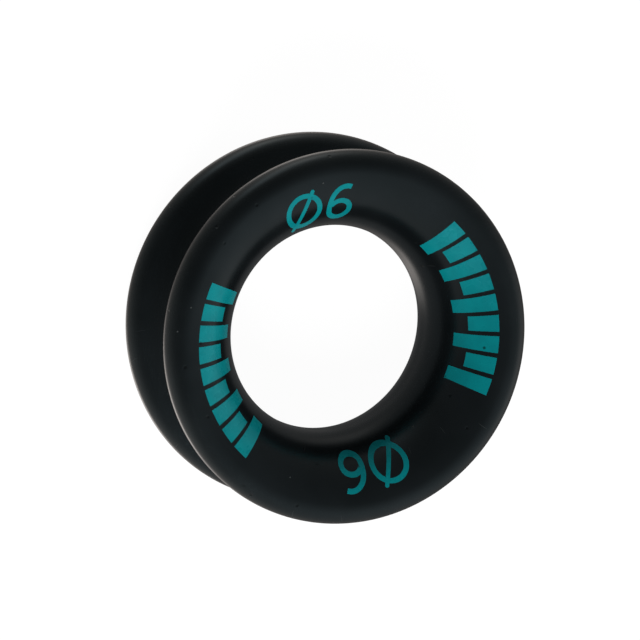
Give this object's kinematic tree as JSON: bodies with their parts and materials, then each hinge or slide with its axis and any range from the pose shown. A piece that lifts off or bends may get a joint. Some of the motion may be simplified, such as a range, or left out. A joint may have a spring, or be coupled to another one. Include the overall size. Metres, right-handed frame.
{
  "type": "low friction ring",
  "caption": "Solid low friction ring: a flared bore that a line slides through, rounded lips on both sides and a round rope seat around the outside for a strop or lashing.",
  "frame": {"origin": "centre of the bore, on the ring's middle plane, which is also the centre of the whole ring", "axes": "+Z along the bore's axis, out of the face that carries the size marks; the ring lies flat on its lower lip, and both faces have the same form"},
  "size_m": [0.0108, 0.0108, 0.0046],
  "materials": {
    "anodised_aluminium": "black hard anodised, polished satin, smooth all round"
  },
  "bodies": {
    "root": {"ring": "anodised_aluminium"}
  },
  "joints": []
}
